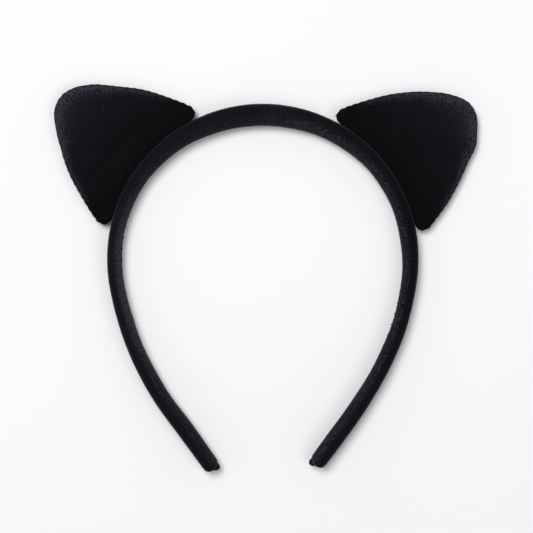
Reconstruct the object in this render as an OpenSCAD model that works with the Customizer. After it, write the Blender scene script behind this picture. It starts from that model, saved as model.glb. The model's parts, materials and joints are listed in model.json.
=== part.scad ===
// Cat ear headband: a moulded hoop padded with foam, covered in velvet, with two stuffed ears.
// It lies on its back edge. +Y runs from the open ends to the crown and +Z is the hoop's width.

/* [Hoop] */
// Outer radius of the covered hoop over the crown and both temples
outer_r = 65.4; // [60:0.2:70]
// Width of the covered hoop, front edge to back edge
band_w = 12; // [11:0.5:14]
// Thickness of the covered hoop at the arms
arm_t = 6.5; // [6.2:0.1:7.4]
// Thickness of the covered hoop at the crown
crown_t = 9.1; // [8.4:0.1:9.6]
// Angle from the crown at which each temple runs into its arm
shoulder_at = 100.5; // [96:0.5:106]
// Outer radius of an arm
arm_r = 134; // [125:1:150]
// Sweep of an arm's curve
arm_sweep = 26; // [22:0.5:30]
// Length of an arm's straight end
arm_straight = 25; // [16:0.1:28]
// How much shorter the right arm's straight end is
right_shorter = 2.3; // [0:0.1:4]
// Radius of the long edges of the covered hoop
edge_r = 2.5; // [1.8:0.1:2.8]

/* [Inside the hoop] */
// Thickness of the velvet, pile included
velvet_t = 0.9; // [0.7:0.1:1]
// Thickness of the moulded hoop
core_t = 2; // [1.8:0.1:2.2]
// Width of the moulded hoop
core_w = 10; // [9:0.5:10]
// Thickness of the foam strip on the outside of the moulded hoop
outer_foam_t = 1.78; // [1.4:0.01:1.8]

/* [Flex] */
// Angle from the crown at which an arm starts to bend
flex_at = 14; // [12:1:18]
// How far an arm springs out
open_deg = 12; // [8:1:14]
// How far an arm presses in
close_deg = 4; // [2:1:5]

/* [Ears] */
// Angle from the crown to the middle of the left ear
left_ear_at = 51.1; // [48:0.1:56]
// Angle from the crown to the middle of the right ear
right_ear_at = 53.4; // [48:0.1:56]
// Height of an ear above the hoop
ear_h = 43.9; // [38:0.1:50]
// Half the width between the centres of an ear's lower corners
ear_corner_u = 27.6; // [24:0.2:30]
// Radius of an ear's tip
ear_tip_r = 12.5; // [10:0.5:14]
// Radius of an ear's sides
ear_side_r = 90; // [80:1:120]
// Radius of an ear's lower corners
ear_corner_r = 4; // [3:0.2:5]
// Thickness of a stuffed ear
ear_t = 8; // [6:0.5:9]
// How far an ear leans to the front or back
lean_deg = 30; // [20:1:34]

/* [Thread] */
// Spacing of the ladder stitches down the inside of the hoop
ladder_step = 5; // [4:0.5:8]
// Spacing of the stitches round an ear
seam_step = 3; // [2.5:0.5:5]

/* [Hidden] */

velvet_black = [0.09, 0.085, 0.1];
thread_black = [0.05, 0.05, 0.06];
foam_grey = [0.36, 0.36, 0.38];
hoop_black = [0.12, 0.12, 0.12];

ease = 0.02;                       // gap between layers that are not glued into one solid
mid_z = band_w / 2;
hoop_at = [-1.2, 7.55, 0];         // the hoop's arc centre, so that the whole object is centred on the origin
crown_end = 50;                    // the thick crown runs this far each side
arc_fn = 180;

// The crown's inner wall has its own centre, lower than the outer wall's, so the crown is thicker.
// It meets the arm's thickness where the crown ends.
thin_r = outer_r - arm_t;
thick_r = outer_r - crown_t;
inner_drop = (thin_r * thin_r - thick_r * thick_r) / (2 * (thick_r - thin_r * cos(crown_end)));
inner_r = thick_r + inner_drop;

// The arm's centre lies on the line through the hoop's centre and the shoulder.
arm_reach = arm_r - outer_r;
arm_end_at = shoulder_at + arm_sweep;
function straight(side) = side == "left" ? arm_straight : arm_straight - right_shorter;
arm_centre = arm_reach * [-sin(shoulder_at), -cos(shoulder_at)];

core_out = outer_r - velvet_t - outer_foam_t - 2 * ease;
core_in = core_out - core_t;
core_z = (band_w - core_w) / 2;

flex_r = (core_out + core_in) / 2;

ear_gap = 0.3;
ear_base_r = outer_r + ear_gap;
ear_corner = [ear_corner_u, sqrt(pow(ear_base_r + ear_corner_r, 2) - ear_corner_u * ear_corner_u)];
ear_tip = [0, outer_r + ear_h - ear_tip_r];
base_slope = tan(lean_deg + 3);
ear_pillow = [[0, 0], [0.25, 0.15], [0.55, 0.8], [0.82, 2.2], [1, 5]]; // [share of half the thickness, inset]

// Points on a circle from angle a to angle b
function arc(c, r, a, b, n) = [for (i = [0:n]) let (t = a + (b - a) * i / n) c + r * [cos(t), sin(t)]];

function heading(from, to) = atan2(to[1] - from[1], to[0] - from[0]);

// Centre of the circle of radius r that holds circles a and b (radii ra and rb) just inside it
function side_centre(a, ra, b, rb, r) =
    let (
        p = r - ra, q = r - rb, d = norm(b - a),
        x = (d * d + p * p - q * q) / (2 * d),
        h = sqrt(p * p - x * x),
        along = (b - a) / d, across = [along[1], -along[0]]
    ) a + x * along + h * across;

ear_side = side_centre(ear_tip, ear_tip_r, ear_corner, ear_corner_r, ear_side_r);

// Half of an ear's outline, from the tip down to the foot of a lower corner
function half_ear(inset) =
    let (
        to_tip = heading(ear_side, ear_tip),
        to_corner = heading(ear_side, ear_corner)
    ) concat(
        arc(ear_tip, ear_tip_r - inset, 90, to_tip, 8),
        arc(ear_side, ear_side_r - inset, to_tip, to_corner, 8),
        arc(ear_corner, ear_corner_r - min(inset, ear_corner_r - 0.5), to_corner, -100, 6)
    );

function mirrored(points) = [for (i = [len(points) - 1:-1:0]) [-points[i][0], points[i][1]]];

// A rounded section in the plane of radius and z
function section(r0, r1, z0, z1, c_in, c_out) = concat(
    arc([r0 + c_in, z0 + c_in], c_in, 270, 180, 4),
    arc([r0 + c_in, z1 - c_in], c_in, 180, 90, 4),
    arc([r1 - c_out, z1 - c_out], c_out, 90, 0, 4),
    arc([r1 - c_out, z0 + c_out], c_out, 0, -90, 4)
);

// Turns a section through angles measured from the crown, positive to the right
module turned(from, to) {
    rotate([0, 0, 90 - to]) rotate_extrude(angle = to - from, $fn = arc_fn) children();
}

// Everything that has a left and a right is drawn on the right
module on_side(side) {
    translate(hoop_at) mirror([side == "left" ? 1 : 0, 0, 0]) children();
}

// The thick crown: walls with two centres, its surface moved in by inset
module crown_solid(inset, from, to) {
    c = max(edge_r - inset, 0.6);
    difference() {
        turned(from, to)
            polygon(section(outer_r * 0.6, outer_r - inset, inset, band_w - inset, c, c));
        translate([0, -inner_drop, 0]) crown_hollow(inner_r + inset, inset, c);
    }
}

// What the crown's inner wall is cut with: a disc whose rims flare out, which rounds the wall's edges
module crown_hollow(r, inset, c) {
    rotate_extrude($fn = arc_fn) polygon(concat(
        [[0, inset - 1], [r + c, inset - 1]],
        arc([r + c, inset + c], c, 270, 180, 4),
        arc([r + c, band_w - inset - c], c, 180, 90, 4),
        [[r + c, band_w - inset + 1], [0, band_w - inset + 1]]
    ));
}

// The section of the thin part of the hoop, its surface moved in by inset
module thin_section(inset) {
    c = max(edge_r - inset, 0.6);
    polygon(section(thin_r + inset, outer_r - inset, inset, band_w - inset, c, c));
}

// Carries a section along the temple and down the arm, as lengths that butt against each other
butt = ease / arm_r * 180 / PI;

module follow(side, from) {
    turned(from, shoulder_at) children();
    along_arm(side) children();
}

module along_arm(side) {
    translate(arm_centre) {
        turned(shoulder_at + butt, arm_end_at - butt) translate([arm_reach, 0]) children();
        rotate([0, 0, 90 - arm_end_at]) rotate([90, 0, 0]) linear_extrude(straight(side))
            translate([arm_reach, 0]) children();
    }
}

// Puts something at the middle of the arm's round end, with -Y along the arm and +X outwards
module at_arm_end(side) {
    translate(arm_centre) rotate([0, 0, 90 - arm_end_at])
        translate([arm_r - arm_t / 2, -straight(side) - ease, 0]) children();
}

// The round end's surface, moved in by inset
module end_section(inset) {
    c = max(edge_r - inset, 0.6);
    intersection() {
        polygon(section(inset - arm_t / 2, arm_t / 2 - inset, inset, band_w - inset, c, c));
        square([arm_t, band_w]);
    }
}

// Half a turn about the end's middle, on the far side of the arm
module end_turn() {
    rotate([0, 0, 180]) rotate_extrude(angle = 180, $fn = 48) children();
}

// What an arm keeps: all beyond the flex line, with room to open and to close.
// The wedges meet at the middle of the moulded hoop.
reach = 40;
function ray(a) = reach * [sin(a), cos(a)];

module arm_side() {
    start = (flex_r + ease) * [sin(flex_at + 0.05), cos(flex_at + 0.05)];
    far = 3 * outer_r;
    translate([0, 0, -1]) linear_extrude(band_w + 2) polygon([
        start,
        start + ray(flex_at + open_deg + 1),
        [far, outer_r], [far, -far], [-outer_r / 2, -far],
        start + ray(flex_at + 180 - close_deg - 1)
    ]);
}

module arm_part(side) {
    on_side(side) intersection() {
        children();
        arm_side();
    }
}

// Velvet over the hoop
module crown_velvet() {
    color(velvet_black) translate(hoop_at) difference() {
        crown_solid(0, -flex_at, flex_at);
        crown_solid(velvet_t, -flex_at - 1, flex_at + 1);
    }
}

module arm_velvet(side) {
    color(velvet_black) {
        arm_part(side) difference() {
            crown_solid(0, flex_at - 4, crown_end);
            crown_solid(velvet_t, flex_at - 5, crown_end + 1);
        }
        on_side(side) {
            follow(side, crown_end) difference() {
                thin_section(0);
                thin_section(velvet_t);
            }
            at_arm_end(side) end_turn() difference() {
                end_section(0);
                end_section(velvet_t);
            }
        }
    }
}

// Moulded hoop
core_edge = 0.6;

module hoop_section() {
    polygon(section(core_in, core_out, core_z, band_w - core_z, core_edge, core_edge));
}

module crown_hoop() {
    color(hoop_black) translate(hoop_at) turned(-flex_at, flex_at) hoop_section();
}

module arm_hoop(side) {
    color(hoop_black) arm_part(side) follow(side, flex_at - 2) hoop_section();
}

// Foam glued to the outside of the hoop
module outer_foam_section() {
    lo = core_z + 0.1;
    polygon(section(core_out + ease, outer_r - velvet_t - ease, lo, band_w - lo, 0.3, 1.4));
}

module crown_outer_foam() {
    color(foam_grey) translate(hoop_at) turned(-flex_at, flex_at) outer_foam_section();
}

module arm_outer_foam(side) {
    color(foam_grey) arm_part(side) follow(side, flex_at - 2) outer_foam_section();
}

// Foam glued to the inside of the hoop, a crescent that is thickest at the crown
module inner_foam(from, to) {
    intersection() {
        crown_solid(velvet_t + ease, from, to);
        translate([0, 0, core_z]) cylinder(r = core_in - ease, h = core_w, $fn = arc_fn);
    }
}

module thin_foam_section() {
    lo = core_z + 0.9;
    polygon(section(thin_r + velvet_t + ease, core_in - ease, lo, band_w - lo, 0.45, 0.3));
}

module crown_inner_foam() {
    color(foam_grey) translate(hoop_at) inner_foam(-flex_at, flex_at);
}

module arm_inner_foam(side) {
    color(foam_grey) {
        arm_part(side) inner_foam(flex_at - 4, crown_end);
        on_side(side) follow(side, crown_end) thin_foam_section();
    }
}

// Foam that rounds off an arm's end
module end_pad(side) {
    color(foam_grey) on_side(side) at_arm_end(side) end_turn() end_section(velvet_t + ease);
}

// Thread: short bars across the seam, sunk in the velvet
ladder_r = 0.25;
ladder_l = 2.4;

module ladder_bar() {
    translate([0, ladder_r + ease, mid_z - ladder_l / 2]) cylinder(r = ladder_r, h = ladder_l, $fn = 16);
}

function crown_wall_r(a) = // inner wall's distance from the hoop's centre at an angle from the crown
    -inner_drop * cos(a) + sqrt(inner_r * inner_r - pow(inner_drop * sin(a), 2));

crown_bars = floor((flex_at - 1) * thick_r * PI / 180 / ladder_step);
bar_turn = ladder_step / thin_r * 180 / PI;
arm_bar_turn = ladder_step / (arm_r - arm_t) * 180 / PI;

module crown_ladder_stitches() {
    color(thread_black) translate(hoop_at) for (i = [-crown_bars:crown_bars])
        rotate([0, 0, -i * bar_turn]) translate([0, crown_wall_r(i * bar_turn), 0]) ladder_bar();
}

module arm_ladder_stitches(side) {
    color(thread_black) on_side(side) {
        for (a = [flex_at + 2.5:bar_turn:shoulder_at - 1])
            rotate([0, 0, -a]) translate([0, a < crown_end ? crown_wall_r(a) : thin_r, 0]) ladder_bar();
        translate(arm_centre) for (a = [shoulder_at + 1:arm_bar_turn:arm_end_at])
            rotate([0, 0, -a]) translate([0, arm_r - arm_t, 0]) ladder_bar();
        at_arm_end(side) for (y = [ladder_step:ladder_step:straight(side) - 1])
            translate([-arm_t / 2, y, 0]) rotate([0, 0, -90]) ladder_bar();
    }
}

// The gathered end of the velvet, a nub on the inner corner of the arm's end
knot_r = 1;
knot_l = 4;
knot_at = 236;

module end_knot(side) {
    out = arm_t / 2 + knot_r - 0.5;
    color(velvet_black) on_side(side) at_arm_end(side) difference() {
        translate([out * cos(knot_at), out * sin(knot_at), mid_z - knot_l / 2])
            cylinder(r = knot_r, h = knot_l, $fn = 24);
        cylinder(r = arm_t / 2 + ease, h = band_w, $fn = 48);
    }
}

// Ears
module at_ear(side) {
    on_side(side) rotate([0, 0, side == "left" ? -left_ear_at : -right_ear_at]) children();
}

module ear_slab(inset) {
    linear_extrude(0.01) polygon(concat(half_ear(inset), mirrored(half_ear(inset))));
}

// A pillow from the outline, cut at the foot by two cones so that it can lean without touching the hoop
module ear_solid(inset) {
    half_t = ear_t / 2 - inset;
    difference() {
        hull() for (p = ear_pillow, s = [-1, 1])
            translate([0, 0, mid_z + s * p[0] * half_t - 0.005]) ear_slab(p[1] + inset);
        rotate_extrude($fn = arc_fn) ear_foot_section(inset);
    }
}

// One face of the pillow, from a little beyond the middle plane: s is 1 for the front and -1 for the back
module ear_face_solid(inset, s, from) {
    half_t = ear_t / 2 - inset;
    difference() {
        hull() {
            translate([0, 0, mid_z + s * from - 0.005]) ear_slab(inset);
            for (p = ear_pillow)
                translate([0, 0, mid_z + s * max(from, p[0] * half_t) - 0.005]) ear_slab(p[1] + inset);
        }
        rotate_extrude($fn = arc_fn) ear_foot_section(inset);
    }
}

module ear_foot_section(inset) {
    r = ear_base_r + inset;
    polygon([
        [0, -1], [r + (mid_z + 1) * base_slope, -1], [r, mid_z],
        [r + (mid_z + 1) * base_slope, band_w + 1], [0, band_w + 1]
    ]);
}

module ear_half(side, s) {
    color(velvet_black) at_ear(side) difference() {
        ear_face_solid(0, s, ease);
        ear_face_solid(velvet_t, s, -0.5);
    }
}

module ear_foam(side) {
    color(foam_grey) at_ear(side) ear_solid(velvet_t + 2 * ease);
}

// Stitches that join the two velvets of an ear, just inside its edge
stitch_r = 0.2;
stitch_l = 2;
seam_inset = 0.45;

module seam_row(centre, r, a, b) {
    count = floor(abs(b - a) * r * PI / 180 / seam_step);
    for (i = [0:count]) {
        t = a + (b - a) * (i + 0.5) / (count + 1);
        translate([centre[0] + r * cos(t), centre[1] + r * sin(t), mid_z]) rotate([90, 0, t])
            translate([0, 0, -stitch_l / 2]) cylinder(r = stitch_r, h = stitch_l, $fn = 16);
    }
}

module ear_seam_stitches(side) {
    color(thread_black) at_ear(side) for (m = [0, 1]) mirror([m, 0, 0]) {
        seam_row(ear_tip, ear_tip_r - seam_inset, 84, heading(ear_side, ear_tip));
        seam_row(
            ear_side, ear_side_r - seam_inset, heading(ear_side, ear_tip), heading(ear_side, ear_corner)
        );
    }
}

// Whip stitches that close the foot of an ear
foot_stitches = 9;

module ear_base_stitches(side) {
    span = 2 * asin(ear_corner[0] / norm(ear_corner));
    color(thread_black) at_ear(side) for (i = [0:foot_stitches - 1])
        rotate([0, 0, span * (i / (foot_stitches - 1) - 0.5)])
            translate([0, ear_base_r + 0.7, mid_z - 0.6]) cylinder(r = stitch_r, h = 1.2, $fn = 16);
}

crown_hoop();
arm_hoop("left");  // left_arm_hoop
arm_hoop("right");  // right_arm_hoop
crown_outer_foam();
arm_outer_foam("left");  // left_arm_outer_foam
arm_outer_foam("right");  // right_arm_outer_foam
crown_inner_foam();
arm_inner_foam("left");  // left_arm_inner_foam
arm_inner_foam("right");  // right_arm_inner_foam
crown_velvet();
arm_velvet("left");  // left_arm_velvet
arm_velvet("right");  // right_arm_velvet
crown_ladder_stitches();
arm_ladder_stitches("left");  // left_arm_ladder_stitches
arm_ladder_stitches("right");  // right_arm_ladder_stitches
end_pad("left");  // left_end_pad
end_pad("right");  // right_end_pad
end_knot("left");  // left_end_knot
end_knot("right");  // right_end_knot
ear_half("left", 1);  // left_ear_front
ear_half("left", -1);  // left_ear_back
ear_foam("left");  // left_ear_foam
ear_seam_stitches("left");  // left_ear_seam_stitches
ear_base_stitches("left");  // left_ear_base_stitches
ear_half("right", 1);  // right_ear_front
ear_half("right", -1);  // right_ear_back
ear_foam("right");  // right_ear_foam
ear_seam_stitches("right");  // right_ear_seam_stitches
ear_base_stitches("right");  // right_ear_base_stitches
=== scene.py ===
import json
import logging
import math
from dataclasses import dataclass, field
from enum import Enum
from typing import Sequence

import bpy
import numpy as np
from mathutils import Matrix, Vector
from mathutils.kdtree import KDTree


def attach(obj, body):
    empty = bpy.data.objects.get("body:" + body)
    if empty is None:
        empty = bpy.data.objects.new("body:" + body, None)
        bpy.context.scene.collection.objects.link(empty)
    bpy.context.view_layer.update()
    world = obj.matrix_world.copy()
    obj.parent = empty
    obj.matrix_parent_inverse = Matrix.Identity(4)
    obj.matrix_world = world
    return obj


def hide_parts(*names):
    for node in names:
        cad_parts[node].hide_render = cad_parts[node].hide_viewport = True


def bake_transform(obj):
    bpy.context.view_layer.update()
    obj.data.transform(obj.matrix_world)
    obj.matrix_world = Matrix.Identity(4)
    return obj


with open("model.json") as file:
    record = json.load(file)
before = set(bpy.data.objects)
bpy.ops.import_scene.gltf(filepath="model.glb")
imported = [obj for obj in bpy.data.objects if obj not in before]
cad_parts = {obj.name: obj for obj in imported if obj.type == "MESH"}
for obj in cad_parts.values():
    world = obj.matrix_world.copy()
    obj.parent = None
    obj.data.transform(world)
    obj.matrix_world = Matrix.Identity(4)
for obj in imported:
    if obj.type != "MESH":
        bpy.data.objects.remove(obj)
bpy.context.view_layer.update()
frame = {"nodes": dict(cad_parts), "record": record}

LOG = logging.getLogger("headband")

MM = 0.001
HOOP_AT = (-1.2, 7.55)  # the hoop's arc centre in plan, millimetres
HOOP_R = 65.4

Array = np.ndarray
Material = bpy.types.Material
Piece = bpy.types.Object
Socket = bpy.types.NodeSocket
Tree = bpy.types.NodeTree


class Side(Enum):
    """The wearer's side as seen from the front: the value is the sign of X."""

    LEFT = -1
    RIGHT = 1

    @property
    def label(self) -> str:
        """The side's word in the frame's names."""
        return self.name.lower()


def smoothstep(low: float, high: float, value: Array) -> Array:
    """Rises smoothly from 0 at low to 1 at high."""
    t = np.clip((value - low) / (high - low), 0.0, 1.0)
    return t * t * (3 - 2 * t)


def bump_at(value: Array, centre: float, width: float) -> Array:
    """A soft bump of height 1 at centre that falls away over width."""
    return np.exp(-(((value - centre) / width) ** 2))


# ---------------------------------------------------------------- colour and materials


def srgb(code: str) -> tuple[float, float, float, float]:
    """Turns an sRGB hex colour such as "1a1719" to linear RGBA."""
    parts = [int(code[i:i + 2], 16) / 255 for i in (0, 2, 4)]
    linear = [c / 12.92 if c <= 0.04045 else ((c + 0.055) / 1.055) ** 2.4 for c in parts]
    return (linear[0], linear[1], linear[2], 1.0)


def add_node(
    tree: Tree, kind: str, settings: dict[str, object] | None = None, inputs: dict[str, object] | None = None
) -> bpy.types.Node:
    """Adds one node with its settings, values and links.

    Args:
        tree: The node tree it goes in.
        kind: The node's type name.
        settings: Properties of the node itself.
        inputs: For each input, by name or by index as text, its value or the output that feeds it.

    Returns:
        The new node.
    """
    node = tree.nodes.new(kind)
    for name, value in (settings or {}).items():
        setattr(node, name, value)
    for name, value in (inputs or {}).items():
        socket = node.inputs[int(name)] if name.isdigit() else node.inputs[name]
        if isinstance(value, Socket):
            tree.links.new(value, socket)
        else:
            socket.default_value = value
    return node


def sum_node(tree: Tree, operation: str, *values: float | Socket, clamp: bool = False) -> Socket:
    """Adds one sum on numbers or on other nodes' outputs, and returns its result."""
    inputs = {str(index): value for index, value in enumerate(values)}
    return add_node(tree, "ShaderNodeMath", {"operation": operation, "use_clamp": clamp}, inputs).outputs[0]


def noise(tree: Tree, place: Socket, size_mm: float, **settings: float) -> Socket:
    """Adds a noise with features size_mm across, and returns its strength."""
    inputs = {"Vector": place, "Scale": 1 / (size_mm * MM), **settings}
    return add_node(tree, "ShaderNodeTexNoise", None, inputs).outputs["Fac"]


def shaded(tree: Tree, level: Socket, *stops: tuple[float, str]) -> Socket:
    """Adds a colour ramp with stops of (place, hex colour), and returns its colour."""
    node = add_node(tree, "ShaderNodeValToRGB", None, {"Fac": level})
    elements = node.color_ramp.elements
    while len(elements) < len(stops):
        elements.new(1.0)
    for element, (place, code) in zip(elements, stops):
        element.position, element.color = place, srgb(code)
    return node.outputs["Color"]


def relief(tree: Tree, height: Socket, deep_mm: float, strength: float) -> Socket:
    """Adds a fine relief deep_mm deep, and returns its normal."""
    inputs = {"Height": height, "Distance": deep_mm * MM, "Strength": strength}
    return add_node(tree, "ShaderNodeBump", None, inputs).outputs["Normal"]


@dataclass(frozen=True)
class Finish:
    """A material whose nodes work on the object's own coordinates."""

    name: str

    def build(self) -> Material:
        """Makes the material."""
        material = bpy.data.materials.new(self.name)
        material.use_nodes = True
        tree = material.node_tree
        tree.nodes.clear()
        place = add_node(tree, "ShaderNodeTexCoord").outputs["Object"]
        shader = add_node(tree, "ShaderNodeBsdfPrincipled", None, self.surface(tree, place))
        add_node(tree, "ShaderNodeOutputMaterial", None, {"Surface": shader.outputs["BSDF"]})
        return material

    def surface(self, tree: Tree, place: Socket) -> dict[str, object]:
        """Adds the finish's own nodes, and returns what goes into the shader."""
        raise NotImplementedError


@dataclass(frozen=True)
class Velvet(Finish):
    """Polyester stretch velvet, dyed black: a dense short pile on a knitted back.

    The pile drinks light face on and gleams where it is seen along its side, so the base is nearly black
    and a sheen lights the rounded edges. Where the pile is brushed another way it shows as paler clouds.
    The cloth carries three attributes: "run", metres across the knitted rows, the tone from 0 to 1, which holds
    painted sheen and painted shade and also sets the sheen's weight, and "ruffle", how much its tufts stand
    apart, from 0 to 1.
    """

    deep: str = "040205"
    mid: str = "0f0c11"
    raised: str = "221e26"
    brushed: str = "3b3740"
    row_mm: float = 0.85
    row_share: float = 0.08
    relief_mm: float = 0.12
    cloudiness: float = 0.2
    graininess: float = 4.6
    sheen: float = 0.34
    sheen_tint: str = "e6d8f2"
    sheen_roughness: float = 0.32
    roughness: float = 0.85

    def surface(self, tree: Tree, place: Socket) -> dict[str, object]:
        """Adds the pile's nodes, and returns what goes into the shader."""
        run, nap, ruffle = (
            add_node(tree, "ShaderNodeAttribute", {"attribute_name": name}).outputs["Fac"]
            for name in ("run", "nap", "ruffle")
        )
        # Nap clouds are 8 to 25 mm across, where a hand has brushed the pile.
        clouds = noise(tree, place, 14, Detail=3.0, Roughness=0.55, Distortion=0.4)
        # Tufts of pile are about 0.6 mm, the size of a few stitches of the knitted back.
        tufts = noise(tree, place, 0.6, Detail=3.0, Roughness=0.75)
        # The knitted rows wander by a quarter of a millimetre, a few millimetres at a time.
        across = sum_node(tree, "MULTIPLY_ADD", noise(tree, place, 3.0, Detail=1.0), 0.5 * MM, run)
        rows = sum_node(tree, "SINE", sum_node(tree, "MULTIPLY", across, math.tau / (self.row_mm * MM)))
        # The level is the pile clouds plus the tone attribute, which carries painted sheen and painted shade.
        tone_with_painted_light = sum_node(tree, "MULTIPLY_ADD", clouds, self.cloudiness, nap)
        # The more the pile is ruffled, the more its tufts and rows show.
        pile = sum_node(tree, "MULTIPLY_ADD", rows, self.row_share, tufts)
        grain = sum_node(tree, "MULTIPLY", sum_node(tree, "SUBTRACT", pile, 0.5), ruffle)
        level = sum_node(tree, "MULTIPLY_ADD", grain, self.graininess, tone_with_painted_light, clamp=True)
        # The two palest stops are reached mostly where painted sheen lifts the level.
        stops = ((0.1, self.deep), (0.4, self.mid), (0.7, self.raised), (1.0, self.brushed))
        return {
            "Base Color": shaded(tree, level, *stops), "Roughness": self.roughness, "IOR": 1.45,
            "Specular IOR Level": 0.1, "Sheen Weight": sum_node(tree, "MULTIPLY", tone_with_painted_light, self.sheen),
            "Sheen Roughness": self.sheen_roughness, "Sheen Tint": srgb(self.sheen_tint),
            "Normal": relief(tree, tufts, self.relief_mm, strength=0.8),
        }


@dataclass(frozen=True)
class Thread(Finish):
    """Spun polyester sewing thread, black: a matt twist with a faint gleam on each ply."""

    name: str = "black_polyester_thread"
    base: str = "09080b"
    ply: str = "17151a"
    twist_mm: float = 0.5

    def surface(self, tree: Tree, place: Socket) -> dict[str, object]:
        """Adds the twist's nodes, and returns what goes into the shader."""
        # The wave texture repeats every tau / 20 of its scaled length.
        twist = add_node(tree, "ShaderNodeTexWave", {"wave_type": "BANDS", "bands_direction": "DIAGONAL"}, {
            "Vector": place, "Scale": math.tau / 20 / (self.twist_mm * MM), "Distortion": 0.5,
        }).outputs["Fac"]
        return {
            "Base Color": shaded(tree, twist, (0.2, self.base), (1.0, self.ply)),
            "Roughness": 0.8, "IOR": 1.5, "Specular IOR Level": 0.2,
            "Normal": relief(tree, twist, 0.05, strength=0.5),
        }


@dataclass(frozen=True)
class Foam(Finish):
    """Cut polyurethane foam, grey: open cells about 0.5 mm across, quite matt."""

    name: str = "grey_polyurethane_foam"
    cell: str = "5b5b60"
    wall: str = "8d8d92"
    cell_mm: float = 0.5

    def surface(self, tree: Tree, place: Socket) -> dict[str, object]:
        """Adds the cells' nodes, and returns what goes into the shader."""
        cells = add_node(tree, "ShaderNodeTexVoronoi", {"feature": "F1"}, {
            "Vector": place, "Scale": 1 / (self.cell_mm * MM),
        }).outputs["Distance"]
        return {
            "Base Color": shaded(tree, cells, (0.1, self.cell), (0.7, self.wall)),
            "Roughness": 0.95, "IOR": 1.45, "Normal": relief(tree, cells, 0.15, strength=0.8),
        }


@dataclass(frozen=True)
class MouldedPlastic(Finish):
    """Injection-moulded polypropylene, black: a satin skin with a fine spark texture."""

    name: str = "moulded_black_polypropylene"
    base: str = "17171a"
    worn: str = "222226"

    def surface(self, tree: Tree, place: Socket) -> dict[str, object]:
        """Adds the skin's nodes, and returns what goes into the shader."""
        # Spark-eroded mould grain, 0.3 mm.
        grain = noise(tree, place, 0.3, Detail=2.0)
        return {
            "Base Color": shaded(tree, grain, (0.3, self.base), (0.8, self.worn)),
            "Roughness": 0.42, "IOR": 1.49, "Normal": relief(tree, grain, 0.03, strength=0.3),
        }


@dataclass(frozen=True)
class PaintedFloor(Finish):
    """A studio sweep, matt white emulsion: even and without a gleam."""

    name: str = "matt_white_floor"
    light: str = "f5f5f6"
    shade: str = "f2f2f3"

    def surface(self, tree: Tree, place: Socket) -> dict[str, object]:
        """Adds the paint's nodes, and returns what goes into the shader."""
        # Roller marks merge into clouds about 250 mm across.
        mottle = noise(tree, place, 250, Detail=1.0)
        return {
            "Base Color": shaded(tree, mottle, (0.3, self.light), (0.7, self.shade)),
            "Roughness": 0.9, "Specular IOR Level": 0.05,
        }


# ---------------------------------------------------------------- meshes


def new_object(name: str, data: bpy.types.ID) -> Piece:
    """Makes an object around some data, at the origin, and links it to the scene."""
    item = bpy.data.objects.new(name, data)
    bpy.context.scene.collection.objects.link(item)
    return item


def mesh_object(
    name: str, points_mm: Array, faces: Sequence[Sequence[int]], material: Material, smooth: bool = True
) -> Piece:
    """Makes a mesh object at the origin.

    Args:
        name: The piece's name.
        points_mm: Its points, in millimetres, in the shared frame.
        faces: Its faces, wound so that they point outwards.
        material: Its finish.
        smooth: Whether its faces shade smoothly.

    Returns:
        The object, linked to the scene.
    """
    mesh = bpy.data.meshes.new(name)
    mesh.from_pydata((np.asarray(points_mm) * MM).tolist(), [], [list(f) for f in faces])
    mesh.materials.append(material)
    if smooth:
        mesh.shade_smooth()
    mesh.validate()
    return new_object(name, mesh)


def apply_modifiers(piece: Piece) -> None:
    """Turns a piece's modifiers into plain mesh."""
    graph = bpy.context.evaluated_depsgraph_get()
    shaped = piece.evaluated_get(graph)
    mesh = bpy.data.meshes.new_from_object(shaped, preserve_all_data_layers=True, depsgraph=graph)
    piece.modifiers.clear()
    old, piece.data = piece.data, mesh
    mesh.name = piece.name
    bpy.data.meshes.remove(old)


def write_points(piece: Piece, name: str, values: Array) -> None:
    """Stores one number for each point of a piece."""
    attribute = piece.data.attributes.get(name) or piece.data.attributes.new(name, "FLOAT", "POINT")
    attribute.data.foreach_set("value", np.asarray(values, np.float32).ravel())


def tufted(count: int, seed: int) -> Array:
    """Random numbers from -1 to 1, the unevenness of the pile from tuft to tuft."""
    return np.random.default_rng(seed).uniform(-1.0, 1.0, count)


def tube_faces(rings: int, around: int, inside_out: bool = False) -> list[tuple[int, ...]]:
    """The faces of a closed tube whose points are its rings, its last end's middle and its first end's.

    Args:
        rings: How many rings it has.
        around: How many points each ring has, anticlockwise as seen from the last ring.
        inside_out: Whether the rings run clockwise instead.

    Returns:
        The faces, all of them pointing outwards.
    """
    faces: list[tuple[int, ...]] = []
    for i in range(rings - 1):
        for j in range(around):
            k = (j + 1) % around
            faces.append((i * around + j, i * around + k, (i + 1) * around + k, (i + 1) * around + j))
    last, last_middle, first_middle = (rings - 1) * around, rings * around, rings * around + 1
    for j in range(around):
        k = (j + 1) % around
        faces += [(last + j, last + k, last_middle), (k, j, first_middle)]
    return [face[::-1] for face in faces] if inside_out else faces


def run_along(line: Array) -> Array:
    """How far along a line of points each of them is."""
    return np.concatenate([[0], np.cumsum(np.hypot(*np.diff(line, axis=0).T))])


def resample(line: Array, count: int) -> Array:
    """Spreads count points evenly along a line of points."""
    run = run_along(line)
    want = np.linspace(0, run[-1], count)
    return np.stack([np.interp(want, run, line[:, i]) for i in (0, 1)], 1)


def nearest_on(line: Array, points: Array) -> tuple[Array, Array]:
    """For each point in plan, how far off the nearest of a line's points is, and which one that is."""
    tree = KDTree(len(line))
    for index, (u, v) in enumerate(line):
        tree.insert((u, v, 0.0), index)
    tree.balance()
    found = [tree.find((u, v, 0.0)) for u, v in points]
    return np.array([off for _, _, off in found]), np.array([index for _, index, _ in found])


# ---------------------------------------------------------------- stitches


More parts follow.
